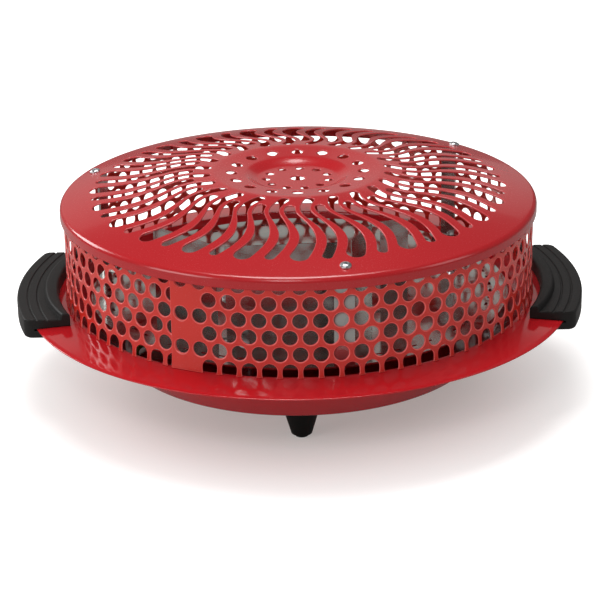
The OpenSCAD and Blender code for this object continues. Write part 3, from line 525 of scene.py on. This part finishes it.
tray_low, tray_high = (1000 * np.array(corner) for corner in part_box("tray"))
rim_r = tray_high[0]
flange_w, pan_run, rim_z, flange_rise, tray_t = 30, 37, 70.0, 3.0, 1
pan = (rim_r - flange_w - pan_run, tray_low[2] + tray_t)
mouth, rim, rim_under = (rim_r - flange_w, rim_z + flange_rise), (rim_r, rim_z), (rim_r, rim_z - tray_t)
pan_under, mouth_under = (pan[0] + 1.05, tray_low[2]), (mouth[0] + 0.62, 71.95)
upper = [(0.5, pan[1]), (60, pan[1]), (112, pan[1])] + bent((0, pan[1]), pan, mouth, 5)
upper += stretch(upper[-1], mouth, 6) + bent(pan, mouth, rim, 3) + stretch(mouth, rim, 8)[1:]
edge = [(rim_r - a, rim_z - b) for a, b in [(0.4, -0.03), (0.1, 0.2), (0, 0.5), (0.1, 0.8), (0.4, 0.96)]]
lower = stretch(rim_under, mouth_under, 8)[:-1] + bent(rim_under, mouth_under, pan_under, 2)
lower += stretch(mouth_under, pan_under, 6)[1:-1] + bent(mouth_under, pan_under, (0, pan_under[1]), 6)
lower += [(112, pan_under[1]), (60, pan_under[1]), (0.5, pan_under[1])]
tray = Build()
spun(tray, upper + edge + lower, 256)
tray_paint = enamel("tray_enamel", (0.56, 0.012, 0.018), (0.53, 0.01, 0.016), 0.1, 0.02, 0.25, 0.3)
tray_piece = tray.make("tray_shell", tray_paint)
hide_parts("tray")


# Handles: black moulded grips clamped over the flange, one on each side. The shelf has two grooves and a soft
# ridge along the inside, widest in the middle, and the ends are cut square with rounded outer corners.
def grip_line(width):
    """Closed section of a grip as (r, z) points, with a ridge of the given width."""
    def flange(r):
        return rim_z + flange_rise * (rim_r - r) / flange_w

    top, low, ridge = 77.1, 63.5, 4.3
    a, b = band_r + 6.4, rim_r + 8
    slot_end = b - 4.5
    line = [(a, flange(a) + 0.15)]
    line += bent((a, top), (a, top + ridge), (a + width, top + ridge), 2.2)
    line += bent((a, top + ridge), (a + width - 1.2, top + ridge), (a + width, top), 2)
    line += [(a + width, top)]
    for g in (b - 14.4, b - 7.7):
        line += [(g - 0.9, top), (g - 0.35, top - 0.7), (g + 0.35, top - 0.7), (g + 0.9, top)]
    line += bent((a, top), (b, top), (b, low), 1.6) + bent((b, top), (b, low), (a, low), 1.8)
    line += bent((b, low), (a, low), (a, top), 1.0)
    line += [(a, flange(a) - 1.2), (slot_end, flange(slot_end) - 1.2), (slot_end, flange(slot_end) + 0.15)]
    return np.array(line)


def grip(side):
    build = Build()
    half, corner_r = 68.5, 4
    ends = [(0, 0.9), (0, 0.6), (0.08, 0.36), (0.3, 0.08), (0.6, 0), (1.2, 0), (2.2, 0), (3.2, 0), (4, 0)]
    shares = [(-1 + e / half, inset) for e, inset in ends]
    shares += [(s, 0) for s in np.linspace(-0.92, 0.92, 41)]
    shares += [(-s, inset) for s, inset in shares[8::-1]]
    rows = []
    for share, inset in shares:
        line = grip_line(6.4 + 4.0 * (1 - share * share))
        line = line + inset * into_sheet(line[::-1])[::-1]
        past = max(corner_r - (1 - abs(share)) * half, 0)
        drop = corner_r - math.sqrt(corner_r**2 - past**2)
        line[:, 0] -= drop * np.clip((line[:, 0] - rim_r - 2) / 4, 0, 1)
        turn = share * np.arcsin(half / line[:, 0])
        out = side * np.stack([np.cos(turn), np.sin(turn)], 1)
        points = np.column_stack([out * line[:, :1], line[:, 1]])
        rows.append(build.add(points, np.zeros_like(points)))
    for a, b in zip(rows, rows[1:]):
        build.strip(b, a)
    build.faces.append(rows[0][::-1].tolist())
    build.faces.append(rows[-1].tolist())
    return build


moulded = Shader(bpy.data.materials.new("handle_black"))
where = moulded.node("TexCoord", "Object")
grain = moulded.node("TexVoronoi", 0, {"Vector": where, "Scale": 1400.0})
cloud = moulded.node("TexNoise", 0, {"Vector": where, "Scale": 40.0, "Detail": 4.0})
moulded.fill(
    {
        "Base Color": moulded.mix(cloud, (0.01, 0.009, 0.009, 1), (0.018, 0.017, 0.016, 1)),
        "Roughness": 0.5 + (cloud - 0.5) * 0.2,
        "Specular IOR Level": 0.28,
        "Normal": moulded.node("Bump", 0, {"Height": grain, "Strength": 0.25, "Distance": 0.0003}),
    }
)
for name, side in (("handle_right", 1), ("handle_left", -1)):
    piece = grip(side).make("grip_" + name[7:], moulded.owner, 35)
    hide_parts(name)

# Feet: black conical legs screwed under the pan, one at the front and two at the rear, each on a small pad.
# They taper to half their width, with a small round at both edges.
foot_black = Shader(bpy.data.materials.new("foot_black"))
where = foot_black.node("TexCoord", "Object")
cloud = foot_black.node("TexNoise", 0, {"Vector": where, "Scale": 120.0, "Detail": 4.0})
foot_black.fill(
    {
        "Base Color": foot_black.mix(cloud, (0.004, 0.004, 0.003, 1), (0.01, 0.009, 0.008, 1)),
        "Roughness": 0.45 + (cloud - 0.5) * 0.25,
        "Specular IOR Level": 0.3,
        "Normal": foot_black.node("Bump", 0, {"Height": cloud, "Strength": 0.15, "Distance": 0.0004}),
    }
)
foot_ring, high, low = 98, 28, 2
wide, narrow = (14.75, high), (7.25, low)
for name, az in (("foot_front", 0), ("foot_rear_right", 120), ("foot_rear_left", 240)):
    foot = Build()
    line = [(0.3, high), (12, high)] + bent((10, high), wide, narrow, 0.8, 4)
    line += stretch(wide, narrow, 5) + bent(wide, narrow, (0, low), 0.6, 5) + [(5.6, low), (0.3, low)]
    spun(foot, line, 64)
    shift = foot_ring * np.array([math.sin(math.radians(az)), -math.cos(math.radians(az)), 0])
    foot.points = [p + shift for p in foot.points]
    piece = foot.make("leg" + name[4:], foot_black.owner)
    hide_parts(name)


# Lid screws: zinc-plated pan heads with a cross recess, driven through the lid into the posts. One is at the
# front, a little right of the middle, and two are at the rear. Only the heads are dressed.
def cross_loop():
    arm, half = 1.75, 0.42
    quarter = [(arm, -half), (arm, half), (0.75, 0.75)]
    loop = []
    for c, s in [(1, 0), (0, 1), (-1, 0), (0, -1)]:
        loop += [(c * x - s * y, s * x + c * y) for x, y in quarter]
    return np.array(loop)[::-1]


def on_head(uv):
    r = np.maximum(np.hypot(uv[:, 0], uv[:, 1]), 1e-6)
    z = 2.6 - 1.3 * np.power(r / head_r, 2.6)
    slope = -1.3 * 2.6 / head_r * np.power(r / head_r, 1.6) / r
    return np.column_stack([uv, z]), unit(np.column_stack([-slope[:, None] * uv, np.ones(len(r))]))


zinc = Shader(bpy.data.materials.new("zinc_plate"))
where = zinc.node("TexCoord", "Object")
film = zinc.node("TexNoise", 0, {"Vector": where, "Scale": 300.0, "Detail": 4.0})
zinc.fill(
    {
        "Base Color": zinc.mix(film, (0.6, 0.61, 0.63, 1), (0.78, 0.79, 0.8, 1)),
        "Metallic": 1.0,
        "Roughness": 0.2 + film * 0.2,
        "Normal": zinc.node("Bump", 0, {"Height": film, "Strength": 0.08, "Distance": 0.0002}),
    }
)
heads = Build()
head_r, head_n = 3.8, 40
screw_r = lid_r - 12
tilt = math.asin(screw_r / dome_r)
out = ring(1, head_n)
for az in lid_screw_az:
    head = Build()
    grid = [p for r in (2.3, 3.0) for p in ring(r, 20)]
    row, _ = sheet(head, on_head, [cross_loop()], grid, 1.1, [0.1], ring(3.5, head_n))
    for r, z, lean in [(3.7, 1.3, 50), (head_r, 0.9, 10), (head_r, 0.05, 0)]:
        up = math.sin(math.radians(lean))
        normals = np.column_stack([out * math.cos(math.radians(lean)), np.full(head_n, up)])
        following = head.add(np.column_stack([out * r, np.full(head_n, z)]), normals)
        head.strip(row, following)
        row = following
    head.faces.append(row[::-1].tolist())
    bed = head.add(np.column_stack([ring(2.2, 16), np.full(16, 1.1)]), np.tile([0, 0, 1.0], (16, 1)))
    head.faces.append(bed.tolist())
    turn = np.array(Matrix.Rotation(math.radians(az - 90), 3, "Z") @ Matrix.Rotation(tilt, 3, "Y"))
    a = math.radians(az - 90)
    seat = np.array([screw_r * math.cos(a), screw_r * math.sin(a), dome(screw_r)])
    shift = heads.count
    for p, n in zip(head.points, head.normals):
        heads.add(p @ turn.T + seat, n @ turn.T)
    heads.faces += [[i + shift for i in f] for f in head.faces]
screw_piece = heads.make("lid_screw_heads", zinc.owner)
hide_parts("lid_screws")


# Inner sheet metal: bright galvanised steel. The floor plate is nearly a mirror, and the shield, the posts
# and the dish are a little duller. The inner screws, pins and spacers share the zinc of the lid screws, and
# the gland and the cut-out the black of the grips.
def galvanised(name, dark, light, rough, streak):
    metal = Shader(bpy.data.materials.new(name))
    where = metal.node("TexCoord", "Object")
    flake = metal.node("TexVoronoi", "Color", {"Vector": where, "Scale": 120.0})
    tone = metal.node("SeparateColor", 0, {"Color": flake})
    brushed = metal.node("Mapping", 0, {"Vector": where, "Scale": (1.0, 14.0, 14.0)})
    lines = metal.node("TexNoise", 0, {"Vector": brushed, "Scale": 60.0, "Detail": 5.0})
    return metal.fill(
        {
            "Base Color": metal.mix(tone * 0.5 + lines * 0.5, (*dark, 1), (*light, 1)),
            "Metallic": 1.0,
            "Roughness": rough + (tone - 0.5) * 0.08 + (lines - 0.5) * streak,
            "Normal": metal.node("Bump", 0, {"Height": lines, "Strength": 0.06, "Distance": 0.0003}),
        }
    )


def clothe(names, material):
    for name in names:
        mesh = nodes[name].data
        mesh.materials.clear()
        mesh.materials.append(material)


clothe(["floor_plate"], galvanised("plate_zinc", (0.5, 0.5, 0.48), (0.66, 0.66, 0.63), 0.1, 0.08))
clothe(
    ["front_shield", "post_front", "post_rear_right", "post_rear_left", "reflector_dish"],
    galvanised("sheet_zinc", (0.46, 0.46, 0.45), (0.64, 0.64, 0.62), 0.16, 0.06),
)
clothe(
    [n for n in nodes if n.endswith("_screws") and n not in ("terminal_screws", "lid_screws")]
    + ["earth_screw", "element_pins", "plate_spacers"],
    zinc.owner,
)
clothe(["cord_gland", "gland_nut", "thermal_cutout"], moulded.owner)

# Pads: small black rubber buttons under the feet. They are in the solids, and only get a dull, speckled
# rubber here.
rubber = Shader(bpy.data.materials.new("pad_rubber"))
where = rubber.node("TexCoord", "Object")
speck = rubber.node("TexNoise", 0, {"Vector": where, "Scale": 700.0, "Detail": 3.0})
rubber.fill(
    {
        "Base Color": rubber.mix(speck, (0.01, 0.01, 0.01, 1), (0.03, 0.03, 0.03, 1)),
        "Roughness": 0.75 + (speck - 0.5) * 0.2,
        "Normal": rubber.node("Bump", 0, {"Height": speck, "Strength": 0.3, "Distance": 0.0003}),
    }
)
clothe(["foot_pads"], rubber.owner)

# Heating elements: two nested hairpins of sheathed rod in the dish, under the plate's window. The sheath is
# darkened by heat in patches.
sheath = Shader(bpy.data.materials.new("element_sheath"))
where = sheath.node("TexCoord", "Object")
heat = sheath.node("TexNoise", 0, {"Vector": where, "Scale": 30.0, "Detail": 4.0})
fine = sheath.node("TexNoise", 0, {"Vector": where, "Scale": 900.0, "Detail": 2.0})
sheath.fill(
    {
        "Base Color": sheath.mix(sheath.ramp(heat, 0.35, 0.65), (0.1, 0.085, 0.08, 1), (0.26, 0.22, 0.2, 1)),
        "Metallic": 0.8,
        "Roughness": 0.38 + heat * 0.2,
        "Normal": sheath.node("Bump", 0, {"Height": fine, "Strength": 0.1, "Distance": 0.0002}),
    }
)
clothe(["element_inner", "element_outer"], sheath.owner)

# Ceramic pieces: the bushes that hold the elements in the dish's wall, and the terminal block on the pan's
# floor. They are fired, unglazed and slightly cream.
clay = Shader(bpy.data.materials.new("white_ceramic"))
where = clay.node("TexCoord", "Object")
pores = clay.node("TexNoise", 0, {"Vector": where, "Scale": 600.0, "Detail": 4.0})
clay.fill(
    {
        "Base Color": clay.mix(pores, (0.66, 0.63, 0.56, 1), (0.82, 0.8, 0.75, 1)),
        "Roughness": 0.65 + (pores - 0.5) * 0.25,
        "Normal": clay.node("Bump", 0, {"Height": pores, "Strength": 0.2, "Distance": 0.0003}),
    }
)
clothe(["element_bushes", "terminal_block"], clay.owner)

# Brass terminals: the clamp screws of the block, the strap between the neutral pins and the earth tag, all
# slightly tarnished.
brass = Shader(bpy.data.materials.new("terminal_brass"))
where = brass.node("TexCoord", "Object")
tarnish = brass.node("TexNoise", 0, {"Vector": where, "Scale": 220.0, "Detail": 4.0})
brass.fill(
    {
        "Base Color": brass.mix(tarnish, (0.5, 0.34, 0.12, 1), (0.78, 0.58, 0.25, 1)),
        "Metallic": 1.0,
        "Roughness": 0.25 + tarnish * 0.25,
    }
)
clothe(["terminal_screws", "neutral_strap", "earth_tag"], brass.owner)

# Wires: braided sleeves over the conductors, black and brown for the two heat levels, blue for neutral and
# green for earth.
for name, color in (
    ("wire_low", (0.03, 0.03, 0.03)),
    ("wire_high", (0.2, 0.09, 0.04)),
    ("wire_neutral", (0.05, 0.12, 0.42)),
    ("wire_return", (0.05, 0.12, 0.42)),
    ("wire_earth", (0.3, 0.45, 0.05)),
):
    sleeve = Shader(bpy.data.materials.new(name + "_sleeve"))
    where = sleeve.node("TexCoord", "Object")
    braid = sleeve.node("TexVoronoi", 0, {"Vector": where, "Scale": 1100.0})
    sleeve.fill(
        {
            "Base Color": sleeve.mix(braid, (*color, 1), tuple(c * 0.6 for c in color) + (1,)),
            "Roughness": 0.6 + braid * 0.2,
            "Normal": sleeve.node("Bump", 0, {"Height": braid, "Strength": 0.4, "Distance": 0.0004}),
        }
    )
    clothe([name], sleeve.owner)
